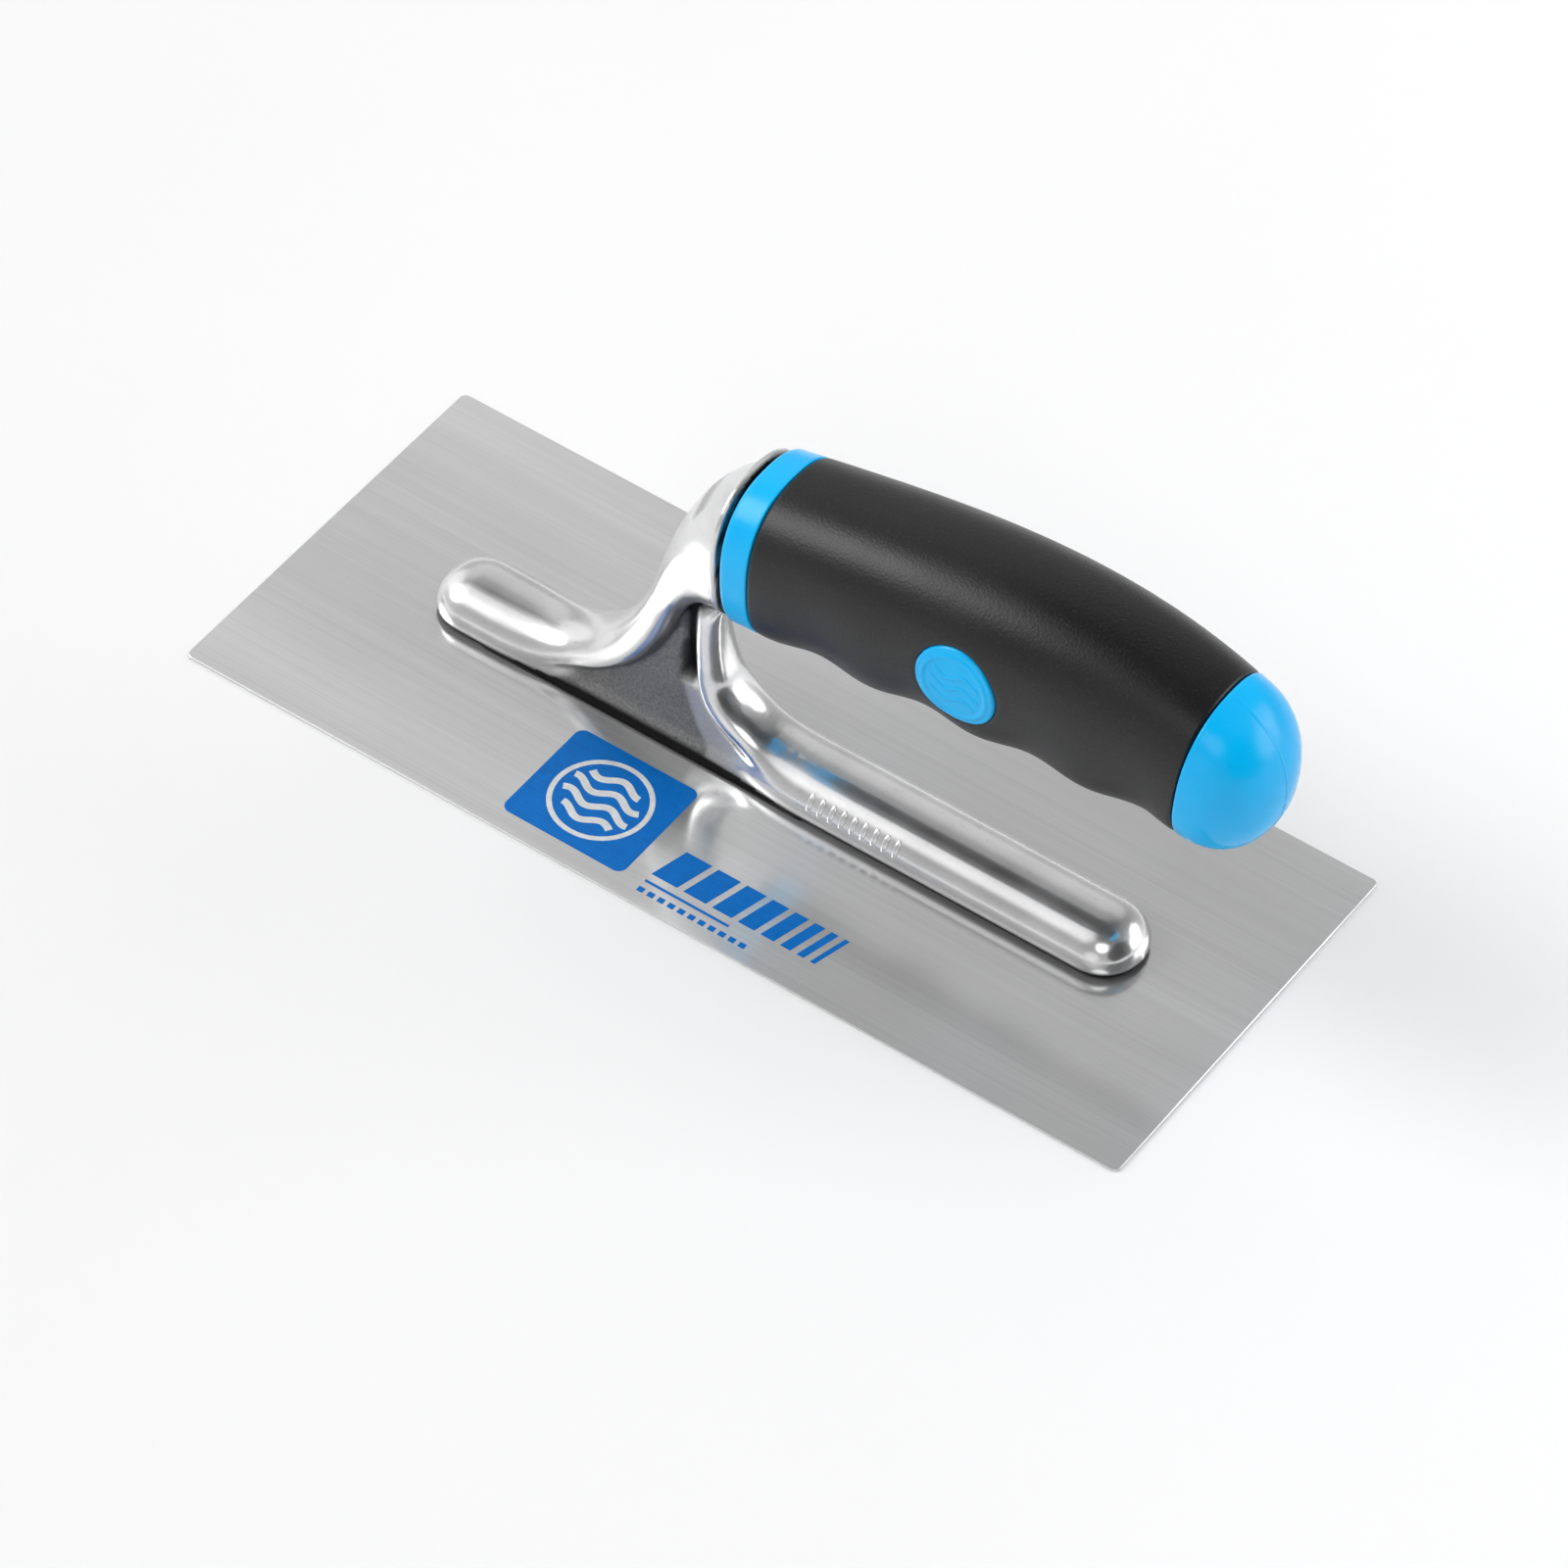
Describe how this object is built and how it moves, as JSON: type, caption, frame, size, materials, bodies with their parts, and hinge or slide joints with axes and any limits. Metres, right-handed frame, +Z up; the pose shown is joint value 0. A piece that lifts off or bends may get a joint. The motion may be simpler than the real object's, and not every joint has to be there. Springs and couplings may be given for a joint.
{
  "type": "finishing trowel",
  "caption": "Rectangular steel finishing trowel: thin flat blade, cast aluminium bar and neck, and a rounded soft-grip handle for smoothing plaster.",
  "frame": {"origin": "centre of the blade's flat underside", "axes": "+X along the blade towards the handle's end cap, +Y across the blade, +Z up from the blade to the handle"},
  "size_m": [0.2421, 0.1, 0.0979],
  "materials": {
    "blade_steel": "fine brushed stainless",
    "cast_aluminium": "polished die casting",
    "rivet_steel": "ground flush",
    "blue_plastic": "moulded gloss",
    "black_grip": "soft-touch matte",
    "zinc_steel": "zinc plated"
  },
  "bodies": {
    "root": {"blade": "blade_steel", "shank": "cast_aluminium", "blade_rivets": "rivet_steel", "handle_core": "blue_plastic", "grip_sleeve": "black_grip", "badge_left": "blue_plastic", "badge_right": "blue_plastic", "end_cap": "blue_plastic", "tang_stud": "zinc_steel", "washer": "zinc_steel", "lock_nut": "zinc_steel"}
  },
  "joints": []
}
